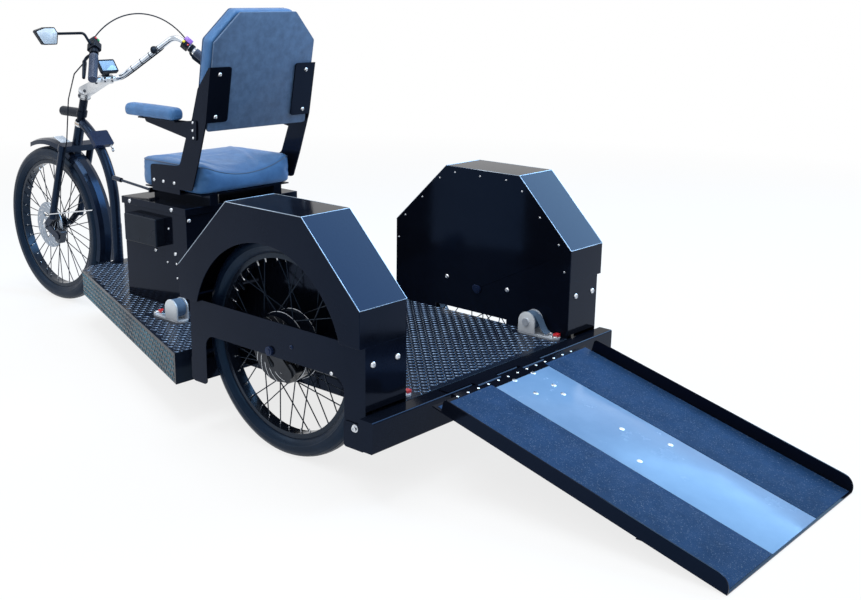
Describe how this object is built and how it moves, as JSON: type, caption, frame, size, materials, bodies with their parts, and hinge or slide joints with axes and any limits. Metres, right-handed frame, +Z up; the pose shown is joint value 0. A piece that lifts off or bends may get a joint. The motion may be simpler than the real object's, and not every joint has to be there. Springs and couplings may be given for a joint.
{
  "type": "motor trike",
  "caption": "Electric motor trike with a steered laced front wheel, a rider's seat on a sheet box, an open wheelchair deck between wheel-houses and a hinged loading ramp.",
  "frame": {"origin": "on the ground under the middle of the whole length, ramp down", "axes": "+X forward, +Y to the rider's left, +Z up"},
  "size_m": [3.788, 1.194, 1.2988],
  "materials": {
    "black_sheet": "gloss",
    "tread_plate": "satin",
    "vinyl": "satin",
    "black_plastic": "matte",
    "zinc_steel": "satin",
    "chrome_tube": "polished",
    "silver_alloy": "satin",
    "black_rubber": "matte",
    "road_tyre": "matte",
    "black_wheel": "gloss"
  },
  "bodies": {
    "chassis": {"frame_rails": "black_sheet", "cross_members": "black_sheet", "rear_crossbeam": "black_sheet", "front_platform": "tread_plate", "rear_deck": "tread_plate", "wheelhouse_inner_plates": "black_sheet", "wheelhouse_covers": "black_sheet", "wheelhouse_guards": "black_sheet", "head_frame": "black_sheet", "key_box": "black_plastic", "seat_box": "black_sheet", "seat_box_lid": "black_sheet", "battery_pack": "black_plastic", "controller_box": "black_plastic", "seat_base": "black_sheet", "seat_cushion": "vinyl", "seat_back": "vinyl", "seat_arms": "black_sheet", "armrest_supports": "black_sheet", "armrest_pads": "black_plastic", "seat_lever": "zinc_steel", "tie_downs": "zinc_steel", "rear_calipers": "zinc_steel", "rear_axles": "zinc_steel", "deck_hinge": "zinc_steel"},
    "steering": {"fork": "black_sheet", "front_axle": "zinc_steel", "riser": "zinc_steel", "stem": "silver_alloy", "handlebar": "chrome_tube", "grips": "black_rubber", "brake_levers": "zinc_steel", "switch_pods": "black_plastic", "display": "black_plastic", "mirror": "black_plastic", "control_cable": "black_rubber", "headlamp": "black_plastic", "mudguard": "black_plastic", "mudguard_stays": "zinc_steel", "front_caliper": "zinc_steel", "brake_hose": "black_rubber"},
    "front_wheel_set": {"front_tyre": "road_tyre", "front_wheel": "black_wheel", "front_rotor": "zinc_steel"},
    "rear_left_wheel_set": {"rear_left_tyre": "road_tyre", "rear_left_wheel": "black_wheel", "rear_left_rotor": "zinc_steel"},
    "rear_right_wheel_set": {"rear_right_tyre": "road_tyre", "rear_right_wheel": "black_wheel", "rear_right_rotor": "zinc_steel"},
    "ramp_set": {"ramp": "tread_plate", "ramp_feet": "black_rubber"}
  },
  "joints": [
    {"name": "steering_turn", "type": "hinge", "parent": "chassis", "child": "steering", "pos_m": [1.51107, 0, 0.32352], "axis": [-0.3584, 0, 0.9336], "range_deg": [-45, 45]},
    {"name": "front_wheel_spin", "type": "hinge", "parent": "steering", "child": "front_wheel_set", "pos_m": [1.55402, 0, 0.34], "axis": [0, 1, 0], "continuous": true},
    {"name": "rear_left_spin", "type": "hinge", "parent": "chassis", "child": "rear_left_wheel_set", "pos_m": [-0.49998, 0.497, 0.34], "axis": [0, 1, 0], "continuous": true},
    {"name": "rear_right_spin", "type": "hinge", "parent": "chassis", "child": "rear_right_wheel_set", "pos_m": [-0.49998, -0.497, 0.34], "axis": [0, 1, 0], "continuous": true},
    {"name": "ramp_fold", "type": "hinge", "parent": "chassis", "child": "ramp_set", "pos_m": [-0.95598, 0, 0.234], "axis": [0, 1, 0], "range_deg": [0, 104]}
  ]
}
